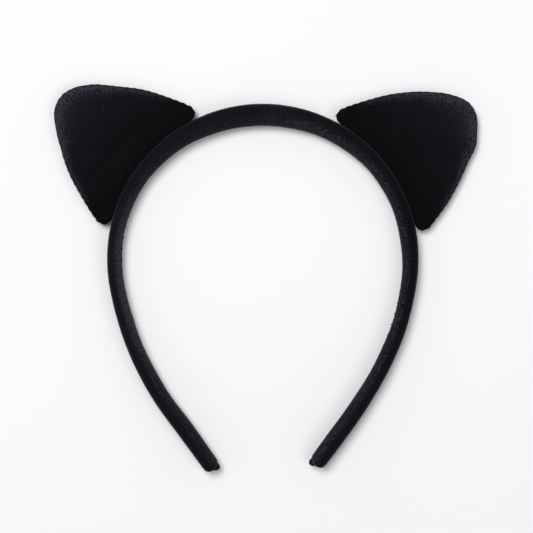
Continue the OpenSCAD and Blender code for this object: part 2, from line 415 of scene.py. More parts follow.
@dataclass
class StitchTree:
    """A node tree that sets an arched stitch at every point, along `across` and standing out along `out`."""

    material: Material
    name: str = "stitches_on_points"
    tree: Tree = field(init=False)

    def __post_init__(self) -> None:
        """Builds the tree."""
        tree = bpy.data.node_groups.new(self.name, "GeometryNodeTree")
        face = tree.interface
        face.new_socket("Points", in_out="INPUT", socket_type="NodeSocketGeometry")
        for label, value in (("Stitch length", 2.0 * MM), ("Thread radius", 0.2 * MM), ("Rise", 0.3 * MM)):
            socket = face.new_socket(label, in_out="INPUT", socket_type="NodeSocketFloat")
            socket.default_value = value
        face.new_socket("Stitches", in_out="OUTPUT", socket_type="NodeSocketGeometry")
        given = add_node(tree, "NodeGroupInput").outputs
        half = sum_node(tree, "MULTIPLY", given["Stitch length"], 0.5)
        left = sum_node(tree, "MULTIPLY", half, -1.0)
        sunk = sum_node(tree, "MULTIPLY", given["Thread radius"], -0.8)
        # The arch's middle point pulls twice as high as the arch stands.
        lift = sum_node(tree, "MULTIPLY", given["Rise"], 2.0)
        start = add_node(tree, "ShaderNodeCombineXYZ", None, {"X": sunk, "Z": left})
        crest = add_node(tree, "ShaderNodeCombineXYZ", None, {"X": lift})
        end = add_node(tree, "ShaderNodeCombineXYZ", None, {"X": sunk, "Z": half})
        arch = add_node(tree, "GeometryNodeCurveQuadraticBezier", None, {
            "Resolution": 6, "Start": start.outputs[0], "Middle": crest.outputs[0], "End": end.outputs[0],
        })
        ply = add_node(tree, "GeometryNodeCurvePrimitiveCircle", {"mode": "RADIUS"}, {
            "Resolution": 6, "Radius": given["Thread radius"],
        })
        thread = add_node(tree, "GeometryNodeCurveToMesh", None, {
            "Curve": arch.outputs["Curve"], "Profile Curve": ply.outputs["Curve"], "Fill Caps": True,
        })
        across, out = (
            add_node(tree, "GeometryNodeInputNamedAttribute", {"data_type": "FLOAT_VECTOR"}, {"Name": name})
            for name in ("across", "out")
        )
        along = add_node(tree, "FunctionNodeAlignRotationToVector", {"axis": "Z"}, {
            "Vector": across.outputs["Attribute"],
        })
        stood = add_node(tree, "FunctionNodeAlignRotationToVector", {"axis": "X", "pivot_axis": "Z"}, {
            "Rotation": along.outputs["Rotation"], "Vector": out.outputs["Attribute"],
        })
        set_on = add_node(tree, "GeometryNodeInstanceOnPoints", None, {
            "Points": given["Points"], "Instance": thread.outputs["Mesh"],
            "Rotation": stood.outputs["Rotation"],
        })
        stitches = set_on.outputs["Instances"]
        for kind, extra in (
            ("RealizeInstances", {}), ("SetShadeSmooth", {}), ("SetMaterial", {"Material": self.material}),
        ):
            node = add_node(tree, f"GeometryNode{kind}", None, {"Geometry": stitches, **extra})
            stitches = node.outputs["Geometry"]
        add_node(tree, "NodeGroupOutput", None, {"Stitches": stitches})
        self.tree = tree

    def sew(
        self, name: str, points_mm: Array, across: Array, out: Array,
        length_mm: float, radius_mm: float, rise_mm: float,
    ) -> Piece:
        """Makes one row of stitches as a plain mesh.

        Args:
            name: The piece's name.
            points_mm: The middle of each stitch.
            across: The way each stitch runs.
            out: The way each stitch stands out of the cloth.
            length_mm: A stitch's length.
            radius_mm: The thread's radius.
            rise_mm: How far a stitch's middle stands out.

        Returns:
            The stitches' object.
        """
        mesh = bpy.data.meshes.new(name)
        mesh.from_pydata((points_mm * MM).tolist(), [], [])
        for label, vectors in (("across", across), ("out", out)):
            attribute = mesh.attributes.new(label, "FLOAT_VECTOR", "POINT")
            attribute.data.foreach_set("vector", np.asarray(vectors, np.float32).ravel())
        piece = new_object(name, mesh)
        modifier = piece.modifiers.new("stitches", "NODES")
        modifier.node_group = self.tree
        sizes = {"Stitch length": length_mm, "Thread radius": radius_mm, "Rise": rise_mm}
        for item in self.tree.interface.items_tree:
            if item.item_type == "SOCKET" and item.in_out == "INPUT" and item.name in sizes:
                modifier[item.identifier] = sizes[item.name] * MM
        apply_modifiers(piece)
        return piece


# ---------------------------------------------------------------- the hoop


@dataclass
class HoopLine:
    """The covered hoop's line on one side, from the crown to the rounded end, in millimetres."""

    side: Side
    centre: tuple[float, float] = HOOP_AT
    outer_r: float = HOOP_R
    arm_t: float = 6.5
    crown_t: float = 9.1
    crown_end_deg: float = 50.0
    shoulder_deg: float = 100.5
    arm_r: float = 134.0
    sweep_deg: float = 26.0
    straight_left: float = 25.0
    straight_right: float = 22.7

    @property
    def straight(self) -> float:
        """Length of the arm's straight end."""
        return self.straight_left if self.side is Side.LEFT else self.straight_right

    @property
    def temple_length(self) -> float:
        """Length of the outer wall from the crown to the shoulder."""
        return self.outer_r * math.radians(self.shoulder_deg)

    @property
    def curve_length(self) -> float:
        """Length of the outer wall to the end of the arm's curve."""
        return self.temple_length + self.arm_r * math.radians(self.sweep_deg)

    @property
    def length(self) -> float:
        """Length of the outer wall to the middle of the round end."""
        return self.curve_length + self.straight

    def inner_radius(self, turn: Array) -> Array:
        """The inner wall's distance from the hoop's centre at an angle from the crown, in radians."""
        thin, thick = self.outer_r - self.arm_t, self.outer_r - self.crown_t
        drop = (thin**2 - thick**2) / (2 * (thick - thin * math.cos(math.radians(self.crown_end_deg))))
        wall = -drop * np.cos(turn) + np.sqrt((thick + drop) ** 2 - (drop * np.sin(turn)) ** 2)
        return np.where(turn < math.radians(self.crown_end_deg), wall, thin)

    def at(self, run: Array) -> tuple[Array, Array, Array]:
        """Where the hoop is at a distance along its outer wall.

        Args:
            run: Distances from the crown along the outer wall.

        Returns:
            The outer wall's points, the way out of the wall there, and the hoop's thickness.
        """
        sign = self.side.value
        shoulder = math.radians(self.shoulder_deg)
        end = shoulder + math.radians(self.sweep_deg)
        on_hoop, past_shoulder = run < self.temple_length, run - self.temple_length
        turn = np.where(on_hoop, run / self.outer_r, np.minimum(shoulder + past_shoulder / self.arm_r, end))
        out = np.stack([sign * np.sin(turn), np.cos(turn)], 1)
        reach = self.arm_r - self.outer_r
        arm_centre = np.array([-sign * math.sin(shoulder), -math.cos(shoulder)]) * reach
        along = np.array([sign * math.cos(end), -math.sin(end)])
        past = np.maximum(run - self.curve_length, 0)[:, None]
        wall = np.where(on_hoop[:, None], out * self.outer_r, arm_centre + out * self.arm_r + past * along)
        thick = np.where(on_hoop, self.outer_r - self.inner_radius(turn), self.arm_t)
        return wall + np.array(self.centre), out, thick


@dataclass(frozen=True)
class Padding:
    """A stretch where the padding is thicker or thinner than its pattern, in millimetres."""

    at: float
    spread: float
    outer: float = 0.0
    inner: float = 0.0


# The left temple was pulled tight and the right one left plump; both arms lean in a little at the end.
PADDING = {
    Side.LEFT: (
        Padding(56, 10, inner=0.2), Padding(84, 20, inner=-0.3), Padding(112, 20, outer=-0.15, inner=-0.3),
        Padding(156, 18, inner=0.3), Padding(188, 20, outer=-0.2, inner=0.7),
    ),
    Side.RIGHT: (
        Padding(60, 16, inner=0.45), Padding(88, 18, inner=0.55), Padding(108, 12, outer=-0.15),
        Padding(126, 16, inner=-0.4), Padding(134, 10, outer=0.2), Padding(165, 12, outer=-0.15, inner=0.2),
        Padding(186, 14, outer=0.3, inner=0.4),
    ),
}


@dataclass
class VelvetTube:
    """Half of the velvet tube that covers the hoop, with its closing seam inside and its round end."""

    line: HoopLine
    material: Material
    width: float = 12.0
    row_mm: float = 0.85
    rings_a_row: int = 4
    around: int = 60
    squareness: float = 2.6
    row_depth: float = 0.06
    tuft_depth: float = 0.07
    furrow_depth: float = 0.4
    furrow_width: float = 0.7
    foam_ease: float = 10.0
    end_rings: int = 19
    end_bluntness: float = 2.7
    end_narrowing: float = 2.4
    bend_from_deg: float = 3.0
    bend_to_deg: float = 25.0

    def section(self) -> tuple[Array, Array]:
        """The section's points, from the outer wall round, as shares of half the thickness and half the width."""
        turn = np.arange(self.around) / self.around * math.tau
        c, s = np.cos(turn), np.sin(turn)
        power = 2 / self.squareness
        return np.sign(c) * np.abs(c) ** power, np.sign(s) * np.abs(s) ** power

    def padded_line(self) -> tuple[Array, Array, Array, Array]:
        """The tube's line as the foam and the padding set it.

        Returns:
            Each ring's distance from the crown, its middle, the way out of the wall and half its thickness.
        """
        line, step = self.line, self.row_mm / self.rings_a_row
        run = np.linspace(0, line.length, int(round(line.length / step)) + 1)
        wall, out, thick = line.at(run)
        # The two thicknesses run into each other along a few millimetres of foam.
        ease = int(self.foam_ease / step)
        kernel = np.hanning(2 * ease + 1) / ease
        thick = np.convolve(np.pad(thick, ease, mode="edge"), kernel, mode="valid")
        # Small plump and slack stretches, a few millimetres long.
        phase = 0.7 if line.side is Side.LEFT else 2.1
        uneven = 0.09 * np.sin(run / 9.0 + phase) + 0.06 * np.sin(run / 4.1 + 2 * phase)
        from_crown = smoothstep(0, 12, run)
        pads = [(pad, bump_at(run, pad.at, pad.spread)) for pad in PADDING[line.side]]
        outer = sum(pad.outer * share for pad, share in pads) * from_crown
        inner = (sum(pad.inner * share for pad, share in pads) + uneven) * from_crown
        half_t = (thick + outer + inner) / 2
        return run, wall + out * (outer - half_t)[:, None], out, half_t

    def skin(self, run: Array, middle: Array, out: Array, half_t: Array, half_w: Array) -> Array:
        """The cloth's points, ring by ring, with its knitted rows, its tufts and the furrow of its seam."""
        share_t, share_w = self.section()
        row = self.row_depth * np.cos(math.tau * run / self.row_mm)
        offset_t = share_t * (half_t + row)[:, None]
        offset_w = share_w * (half_w + np.minimum(row, 0))[:, None]
        # The seam is a furrow down the middle of the inner wall.
        furrow = bump_at(offset_w, 0.0, self.furrow_width) * (share_t < -0.5)
        furrow *= smoothstep(0, 2, run[-1] - run)[:, None]
        tuft = self.tuft_depth * tufted(offset_w.size, 11 + self.line.side.value).reshape(offset_w.shape)
        # The crown's cut ends stay alike, so that the two halves meet.
        tuft *= smoothstep(0, 1.5, run)[:, None]
        offset_t = offset_t + self.furrow_depth * furrow + tuft * share_t
        # The front and back edges stay within the band's width.
        offset_w = offset_w + np.minimum(tuft, 0.02) * share_w
        in_plan = middle[:, None, :] + offset_t[:, :, None] * out[:, None, :]
        return np.dstack([in_plan, self.width / 2 + offset_w]).reshape(-1, 3)

    def build(self) -> Piece:
        """Makes the tube's mesh."""
        line = self.line
        run, middle, out, half_t = self.padded_line()
        half_w = np.full_like(run, self.width / 2)
        along = (middle[-1] - middle[-2]) / np.linalg.norm(middle[-1] - middle[-2])
        ends = np.array([[*(middle[-1] + along * half_t[-1]), self.width / 2], [*middle[0], self.width / 2]])
        # The round end: rings close in along a blunted quarter circle.
        turn = np.radians(np.linspace(0, 90, self.end_rings + 2)[1:-1])
        reach, share = (trig(turn) ** (2 / self.end_bluntness) for trig in (np.sin, np.cos))
        reach = half_t[-1] * reach
        run = np.concatenate([run, line.length + reach])
        middle = np.vstack([middle, middle[-1] + reach[:, None] * along])
        out = np.vstack([out, np.repeat(out[-1:], len(reach), 0)])
        half_t = np.concatenate([half_t, half_t[-1] * share])
        half_w = np.concatenate([half_w, half_w[-1] - self.end_narrowing * (1 - share)])
        points = np.vstack([self.skin(run, middle, out, half_t, half_w), ends])
        faces = tube_faces(len(run), self.around, inside_out=line.side is Side.RIGHT)
        piece = mesh_object(f"{line.side.label}_velvet_tube", points, faces, self.material)
        # The crown's cut end meets the other half, so its edge stays crisp and the two halves shade as one.
        for edge in piece.data.edges:
            edge.use_edge_sharp = all(index < self.around for index in edge.vertices)
        write_points(piece, "run", np.concatenate([np.repeat(run, self.around), [run[-1], 0]]) * MM)
        share_t, _ = self.section()
        for name, values in (("nap", self.nap(run, share_t)), ("ruffle", self.ruffle(run, share_t))):
            write_points(piece, name, np.concatenate([values.ravel(), [0.3, 0.3]]))
        self.bend(piece)
        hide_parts(f"{line.side.label}_arm_velvet", "crown_velvet")
        return piece

    def nap(self, run: Array, share_t: Array) -> Array:
        """The pile's tone: painted sheen along the inner wall, most of all at the left temple, and painted shade
        at the very edges.
        """
        line = self.line
        temple = bump_at(run, line.temple_length, 36)
        leg = smoothstep(line.temple_length, line.curve_length, run)
        if line.side is Side.LEFT:
            flat = 0.30 - 0.05 * leg
            raised = 0.12 + 0.34 * temple
        else:
            flat = 0.16 + 0.17 * bump_at(run, 0, 40) + 0.08 * leg
            raised = 0.21 - 0.09 * bump_at(run, 0, 16)
        # Painted sheen in a strip along the inner wall.
        inner = bump_at(share_t, -0.65, 0.42)
        tone_with_painted_light = flat[:, None] + raised[:, None] * inner[None, :]
        # Painted shade darkens the very edges of the section.
        return tone_with_painted_light * (1 - 0.75 * bump_at(np.abs(share_t), 1.0, 0.1))[None, :]

    def ruffle(self, run: Array, share_t: Array) -> Array:
        """How ruffled the pile is: rough along the inner wall of the right temple, smooth along the left."""
        line = self.line
        leg = smoothstep(line.temple_length, line.curve_length, run)
        if line.side is Side.LEFT:
            inner = 0.3 + 0.5 * bump_at(run, line.temple_length, 40) + 0.4 * leg
        else:
            inner = 0.3 + 0.7 * smoothstep(4, 22, run)
        outer = 0.3 + 0.3 * leg
        return (
            inner[:, None] * bump_at(share_t, -0.55, 0.55)[None, :]
            + outer[:, None] * bump_at(share_t, 0.85, 0.22)[None, :]
        )

    def bend(self, piece: Piece) -> None:
        """Bakes a piece's placement into its mesh."""
        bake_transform(piece)


@dataclass
class LadderSeam:
    """Ladder stitches across the furrow inside the hoop, each leaning the other way from the one before."""

    tube: VelvetTube
    tree: StitchTree
    step: float = 5.0
    length: float = 2.2
    thread_r: float = 0.2
    rise: float = 0.22
    sunk: float = 0.25
    lean: float = 0.12

    def build(self) -> Piece:
        """Makes the stitches."""
        line = self.tube.line
        run = np.arange(self.step / 2, line.length - 1, self.step)
        wall, out, thick = line.at(run)
        inner = wall - out * (thick - self.sunk)[:, None]
        points = np.column_stack([inner, np.full(len(run), self.tube.width / 2)])
        lean = np.where(np.arange(len(run)) % 2 == 0, self.lean, -self.lean)
        tangent = np.stack([-out[:, 1], out[:, 0]], 1)
        across = np.column_stack([tangent * lean[:, None], np.ones(len(run))])
        inward = np.column_stack([-out, np.zeros(len(run))])
        name = f"{line.side.label}_ladder_seam"
        piece = self.tree.sew(name, points, across, inward, self.length, self.thread_r, self.rise)
        self.tube.bend(piece)
        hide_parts(f"{line.side.label}_arm_ladder_stitches", "crown_ladder_stitches")
        return piece


@dataclass
class GatheredEnd:
    """The velvet's gathered end, drawn to a small puckered nub at the inner corner of an arm."""

    tube: VelvetTube
    material: Material
    at_deg: float = 242.0
    radius: float = 1.5
    width: float = 5.0
    stands_out: float = 2.9
    sunk: float = 0.9
    pleats: int = 7
    pleat_share: float = 0.1
    rings: int = 13
    around: int = 42

    def build(self) -> Piece:
        """Makes the nub."""
        line, mid_z = self.tube.line, self.tube.width / 2
        wall, out, thick = (values[0] for values in line.at(np.array([line.length])))
        along = line.side.value * np.array([out[1], -out[0]])
        a = math.radians(self.at_deg)
        heading = out * math.cos(a) - along * math.sin(a)
        base = wall - out * thick / 2 + heading * (thick / 2 - self.sunk)
        side = np.array([-heading[1], heading[0]])
        points = []
        for ring in range(self.rings):
            t = ring / self.rings
            swell = math.sqrt(1 - t**2.6) * (1 + 0.12 * math.sin(t * math.pi))
            for turn in np.arange(self.around) / self.around * math.tau:
                wave = math.cos(self.pleats * turn)
                r = swell * (1 + self.pleat_share * wave * math.sin(math.pi * min(t * 1.1, 1)))
                reach = self.stands_out * t + 0.15 * wave * t * (1 - t)
                in_plan = base + heading * reach + side * (self.radius * r * math.cos(turn))
                points.append([*in_plan, mid_z + self.width / 2 * r * math.sin(turn)])
        points += [[*(base + heading * self.stands_out), mid_z], [*base, mid_z]]
        faces = tube_faces(self.rings, self.around)
        piece = mesh_object(f"{line.side.label}_gathered_end", np.array(points), faces, self.material)
        write_points(piece, "run", np.array(points)[:, 1] * MM)
        for name in ("nap", "ruffle"):
            write_points(piece, name, np.full(len(points), 0.3))
        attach(piece, f"{line.side.label}_arm")
        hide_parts(f"{line.side.label}_end_knot")
        return piece


# ---------------------------------------------------------------- the ears


@dataclass(frozen=True)
class Pull:
    """A place where the sewn edge strays from the cut pattern.

    The direction is seen from the ear's middle, from 0 at the tip round clockwise, in degrees.
    """

    toward: float
    spread: float
    out_mm: float


# Hand sewing: the left ear is drawn in above both corners, and the right ear's tip leans to one side.
SEWN_EDGE = {
    Side.LEFT: (
        Pull(-110, 16, -0.5), Pull(113, 14, -0.5), Pull(14, 9, -0.3), Pull(37, 8, 0.35), Pull(68, 13, -0.25),
        Pull(-56, 7, -0.2),
    ),
    Side.RIGHT: (
        Pull(-17, 12, -0.9), Pull(42, 15, 1.35), Pull(-111, 14, -0.45), Pull(119, 12, -0.6), Pull(95, 12, -0.2),
        Pull(-40, 10, -0.2),
    ),
}


@dataclass
class EarPattern:
    """An ear's cut outline and its place: u runs along the hoop, v out from the hoop's centre."""

    side: Side
    centre: tuple[float, float] = HOOP_AT
    left_deg: float = 51.1
    right_deg: float = 53.4
    middle_v: float = 84.0
    seam_takes: float = 0.1
    foot_r: float = 65.3
    height: float = 43.9
    tip_r: float = 12.5
    side_r: float = 90.0
    corner_r: float = 4.0
    corner_u: float = 27.6
    corner_split: float = 0.42
    tip_split: float = 0.35

    @property
    def turn(self) -> float:
        """Angle from the crown to the ear's middle, in radians."""
        return math.radians(self.left_deg if self.side is Side.LEFT else self.right_deg)

    @property
    def body(self) -> str:
        """The ear's name in the frame."""
        return f"{self.side.label}_ear"

    def outline(self, count: int) -> tuple[Array, ...]:
        """The outline as four runs of points that meet end to end.

        Args:
            count: How many points each run has.

        Returns:
            The foot from left to right, the right side upwards, the tip from right to left,
            and the left side downwards.
        """
        # The side is an arc that touches the corner's circle and the tip's, so its centre is known from both.
        corner = np.array([self.corner_u, math.sqrt((self.foot_r + self.corner_r) ** 2 - self.corner_u**2)])
        tip = np.array([0.0, HOOP_R + self.height - self.tip_r])
        from_tip, from_corner = self.side_r - self.tip_r, self.side_r - self.corner_r
        gap = float(np.hypot(*(corner - tip)))
        way = (corner - tip) / gap
        along = (gap**2 + from_tip**2 - from_corner**2) / (2 * gap)
        middle = tip + along * way + math.sqrt(from_tip**2 - along**2) * np.array([way[1], -way[0]])
        to_tip = math.atan2(*(tip - middle)[::-1])
        to_corner = math.atan2(*(corner - middle)[::-1])
        to_foot = math.atan2(-corner[1], -corner[0])  # where the corner's circle touches the foot
        # The corner's arc is shared between the foot and the side, and the tip's between the side and the top.
        corner_cut = to_corner - (to_corner - to_foot) * self.corner_split
        tip_cut = to_tip + (math.pi / 2 - to_tip) * self.tip_split

        def arc(at: Array, r: float, start: float, end: float, points: int = 200) -> Array:
            """Points on a circle from one angle to another."""
            t = np.linspace(start, end, points)
            return at + r * np.stack([np.cos(t), np.sin(t)], 1)

        foot = arc(np.zeros(2), self.foot_r, math.pi / 2, math.pi / 2 - math.atan2(*corner), 300)
        foot = np.vstack([foot, arc(corner, self.corner_r, to_foot, corner_cut)])
        side = np.vstack([
            arc(corner, self.corner_r, corner_cut, to_corner), arc(middle, self.side_r, to_corner, to_tip, 400),
            arc(tip, self.tip_r, to_tip, tip_cut, 120),
        ])
        top = arc(tip, self.tip_r, tip_cut, math.pi / 2)
        flip = np.array([-1.0, 1.0])
        foot, top = np.vstack([(foot * flip)[::-1], foot]), np.vstack([top, (top * flip)[::-1]])
        runs = (foot, side, top, (side * flip)[::-1])
        return tuple(resample(self.sewn(run), count) for run in runs)

    def seam(self, count: int) -> Array:
        """The outline but for the foot, as one line of points.

        Args:
            count: How many points each of its three runs has.

        Returns:
            The points, from the foot's right end over the tip to its left end.
        """
        _, right, top, left = self.outline(count)
        return np.vstack([right, top[1:], left[1:]])

    def sewn(self, points: Array) -> Array:
        """Moves the cut outline's points to where the sewing took them."""
        way = points - np.array([0.0, self.middle_v])
        toward = np.degrees(np.arctan2(way[:, 0], way[:, 1]))
        move = sum(pull.out_mm * bump_at(toward, pull.toward, pull.spread) for pull in SEWN_EDGE[self.side])
        move = (move - self.seam_takes) * smoothstep(self.foot_r + 0.5, self.foot_r + 4, np.hypot(*points.T))
        return points + way / np.hypot(*way.T)[:, None] * move[:, None]

    @property
    def axes(self) -> Array:
        """The ways u and v run in the shared frame, as the rows of a matrix."""
        sign, a = self.side.value, self.turn
        return np.array([[math.cos(a), -sign * math.sin(a)], [sign * math.sin(a), math.cos(a)]])

    def place(self, uv: Array) -> Array:
        """Turns the ear's own u and v into x and y of the shared frame."""
        along, out = self.axes
        return np.array(self.centre) + uv[..., :1] * along + uv[..., 1:] * out

    def unplace(self, xy: Array) -> Array:
        """Turns x and y of the shared frame into the ear's own u and v."""
        return (xy - np.array(self.centre)) @ self.axes.T


@dataclass(frozen=True)
class Crease:
    """A short crease pressed into the front of an ear, in plan: it runs along Y, with a painted highlight on its
    right side and painted shade on its left.
    """

    x: float
    y: float
    width: float
    length: float
    deep_mm: float
    lip: float

    def depth(self, points_mm: Array) -> Array:
        """How deep each point is pressed in."""
        return self.deep_mm * bump_at(points_mm[:, 0], self.x, self.width) * self.share_along(points_mm)

    def lit(self, points_mm: Array) -> Array:
        """The painted highlight and painted shade at each point, light on the crease's right side and dark on its
        left.
        """
        across = (points_mm[:, 0] - self.x) / self.width
        return self.lip * across * np.exp(-(across**2)) * self.share_along(points_mm)

    def share_along(self, points_mm: Array) -> Array:
        """How strong the crease is at each point's place along it."""
        return bump_at(points_mm[:, 1], self.y, self.length / 2)


CREASES = {
    Side.LEFT: (Crease(-69.0, 70.0, 0.8, 5.0, 0.3, 0.3), Crease(-59.5, 69.0, 0.9, 6.0, 0.3, 0.2)),
    Side.RIGHT: (Crease(52.0, 62.0, 3.0, 10.0, 0.3, 0.05),),
}


@dataclass
class StuffedEar:
    """A stuffed velvet ear: two panels seamed round the edge, swollen by its stuffing."""

    pattern: EarPattern
    material: Material
    thread: StitchTree
    mid_z: float = 6.0
    half_t: float = 3.9
    plump: float = 0.35
    foot_slope: float = 1.45
    cut_share: float = 0.75
    rim_ease: float = 2.6
    grid: int = 96
    tuft_depth: float = 0.09
    gather: float = 0.04
    row_mm: float = 0.85
    frames: int = 22
    pressure: float = 3.0
    most_swell: float = 3.0

    def patch(self, rounds: int = 300) -> Array:
        """The outline filled with an even grid of points, each with its u and v.

        Args:
            rounds: How many times the grid is evened out.

        Returns:
            The rows of points, from the foot to the tip.
        """
        foot, right, top, left = self.pattern.outline(self.grid)
        top, left = top[::-1], left[::-1]
        s = np.linspace(0, 1, self.grid)[None, :, None]
        t = np.linspace(0, 1, self.grid)[:, None, None]
        patch = (1 - t) * foot[None] + t * top[None] + (1 - s) * left[:, None] + s * right[:, None]
        patch -= (1 - s) * (1 - t) * foot[0] + s * (1 - t) * foot[-1] + (1 - s) * t * top[0] + s * t * top[-1]
        # Each inner point moves to the middle of its neighbours.
        for _ in range(rounds):
            patch[1:-1, 1:-1] = (patch[:-2, 1:-1] + patch[2:, 1:-1] + patch[1:-1, :-2] + patch[1:-1, 2:]) / 4
        return patch

    def build(self) -> Piece:
        """Makes the stuffed ear."""
        n, body = self.grid, self.pattern.body
        patch = self.patch()
        edge = np.vstack([patch[0], patch[-1], patch[:, 0], patch[:, -1]])
        away = patch[:, :, None] - edge
        away = np.hypot(away[..., 0], away[..., 1]).min(-1)
        rise = self.half_t * (1 - np.exp(-away / self.rim_ease)) * self.cut_share
        xy = self.pattern.place(patch)
        # The two panels share the points of their edge.
        front = np.arange(n * n).reshape(n, n)
        back = front.copy()
        back[1:-1, 1:-1] = n * n + np.arange((n - 2) ** 2).reshape(n - 2, n - 2)
        points = np.vstack([
            np.dstack([xy, self.mid_z + rise]).reshape(-1, 3),
            np.dstack([xy, self.mid_z - rise])[1:-1, 1:-1].reshape(-1, 3),
        ])
        panels = []
        for at, order in ((front, (0, 1, 2, 3)), (back, (0, 3, 2, 1))):
            corners = (at[:-1, :-1], at[:-1, 1:], at[1:, 1:], at[1:, :-1])
            panels.append(np.stack([corners[corner] for corner in order], -1))
        piece = mesh_object(f"{body}_cushion", points, np.stack(panels, 2).reshape(-1, 4), self.material)
        rim = np.concatenate([front[0], front[-1], front[:, 0], front[:, -1]])
        self.swell(piece, np.unique(rim).tolist())
        smooth = piece.modifiers.new("smooth", "SUBSURF")
        smooth.levels = smooth.render_levels = 1
        apply_modifiers(piece)
        self.shape(piece)
        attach(piece, body)
        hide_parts(f"{body}_front", f"{body}_back", f"{body}_foam")
        return piece

    def swell(self, piece: Piece, rim: Sequence[int]) -> None:
        """Inflates the ear as cloth, its seam held, and keeps the result.

        Args:
            piece: The ear's two panels.
            rim: The points that they share.
        """
        piece.vertex_groups.new(name="seam").add(rim, 1.0, "REPLACE")
        before = np.array([v.co for v in piece.data.vertices])
        cloth = piece.modifiers.new("stuffing", "CLOTH")
        for name, value in {
            "quality": 5, "mass": 0.15, "tension_stiffness": 15, "compression_stiffness": 15,
            "shear_stiffness": 5, "bending_stiffness": 0.5, "vertex_group_mass": "seam", "use_pressure": True,
            "uniform_pressure_force": self.pressure, "shrink_min": -0.02,
        }.items():
            setattr(cloth.settings, name, value)
        cloth.settings.effector_weights.gravity = 0.0
        cloth.point_cache.frame_start, cloth.point_cache.frame_end = 1, self.frames
        scene = bpy.context.scene
        for step in range(1, self.frames + 1):
            scene.frame_set(step)
        apply_modifiers(piece)
        scene.frame_set(1)
        move = self.evened(piece, np.array([v.co for v in piece.data.vertices]) - before, rim)
        length = np.linalg.norm(move, axis=1)
        LOG.info("%s swells by up to %.2f mm", piece.name, length.max() / MM)
        move *= np.minimum(1.0, self.most_swell * MM / np.maximum(length, 1e-9))[:, None]
        piece.data.vertices.foreach_set("co", (before + move).ravel())
        piece.data.update()

    def evened(self, piece: Piece, move: Array, held: Sequence[int], rounds: int = 80) -> Array:
        """Spreads each point's movement over its neighbours, so that only soft swells are left.

        Args:
            piece: The mesh whose points moved.
            move: How far each point moved.
            held: The points that stay still.
            rounds: How many times it is spread.

        Returns:
            The evened movements.
        """
        ends = np.array([edge.vertices[:] for edge in piece.data.edges])
        ends = np.vstack([ends, ends[:, ::-1]])
        neighbours = np.bincount(ends[:, 0], minlength=len(move))[:, None]
        for _ in range(rounds):
            total = np.zeros_like(move)
            np.add.at(total, ends[:, 0], move[ends[:, 1]])
            move = (move + total / neighbours) / 2
            move[held] = 0
        return move

    def shape(self, piece: Piece) -> None:
        """Keeps the ear in its thickness and clear of the hoop, presses in its creases and sets its pile's tone
        with painted sheen and painted shade.
        """
        side, foot_r = self.pattern.side, self.pattern.foot_r
        co = np.array([vertex.co for vertex in piece.data.vertices]) / MM
        uv = self.pattern.unplace(co[:, :2])
        v, from_centre = uv[:, 1], np.hypot(*uv.T)
        lift = co[:, 2] - self.mid_z
        # The ear is flat at its foot. The limit is soft, so that the surface bends over rather than breaking.
        at_foot = np.maximum(self.foot_slope * (from_centre - foot_r), 0.0) + 0.02
        most = np.minimum(self.half_t + self.plump, at_foot)
        lift = np.sign(lift) * most * np.tanh(np.abs(lift) / most)
        lift = np.where(lift > 0, lift - sum(crease.depth(co) for crease in CREASES[side]), lift)
        co[:, 2] = self.mid_z + lift
        seam = self.pattern.seam(500)
        inset, nearest = nearest_on(seam, uv)
        along = run_along(seam)[nearest]
        tuft = self.tuft_depth * tufted(len(co), 31 + side.value) * (1 - 0.4 * bump_at(inset, 0, 1.2))
        # The seam gathers the velvet's rows into a fine edge.
        row = np.cos(math.tau * along / self.row_mm)
        tuft += self.gather * row * bump_at(inset, 0, 0.8) * smoothstep(70, 76, v)
        normals = np.array([normal.vector for normal in piece.data.vertex_normals])
        co += normals * np.where(from_centre < foot_r + 0.8, 0, tuft)[:, None]
        piece.data.vertices.foreach_set("co", (co * MM).ravel())
        piece.data.update()
        # The tone grows lighter from the foot to the tip, partly the pile's own tone and partly painted shade
        # towards the band.
        # Painted sheen lightens a band inside the seam, widest round the tip, and painted shade darkens the
        # seam's very edge.
        # The foot is at a v of 65 and the tip at 109.
        tip = smoothstep(88, 108, v)
        tone_with_painted_light = 0.05 + 0.25 * smoothstep(66, 96, v) + 0.14 * tip
        rim = 0.66 * np.exp(-inset / (1.6 + 1.0 * tip)) * smoothstep(67, 78, v)
        seam_shade = 1 - 0.8 * bump_at(inset, 0, 0.5)
        write_points(piece, "run", along * MM)
        write_points(piece, "nap", (tone_with_painted_light + rim) * seam_shade + sum(crease.lit(co) for crease in CREASES[side]))
        write_points(piece, "ruffle", bump_at(inset, 0.5, 2.6 + 3.4 * tip) * smoothstep(66, 76, v))

    def edge_stitches(self, step: float = 3.0, sunk: float = 0.12) -> Piece:
        """Makes the stitches that show in the seam round the edge."""
        line, axes = self.pattern.seam(400), self.pattern.axes
        points = resample(line, int(run_along(line)[-1] / step))
        way = np.gradient(points, axis=0)
        way /= np.hypot(*way.T)[:, None]
        out = np.stack([way[:, 1], -way[:, 0]], 1)
        flat = np.zeros((len(points), 1))
        piece = self.thread.sew(
            f"{self.pattern.body}_edge_stitches",
            np.hstack([self.pattern.place(points - sunk * out), flat + self.mid_z]),
            np.hstack([way @ axes, flat]), np.hstack([out @ axes, flat]),
            length_mm=1.8, radius_mm=0.14, rise_mm=0.06)
        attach(piece, self.pattern.body)
        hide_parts(f"{self.pattern.body}_seam_stitches")
        return piece

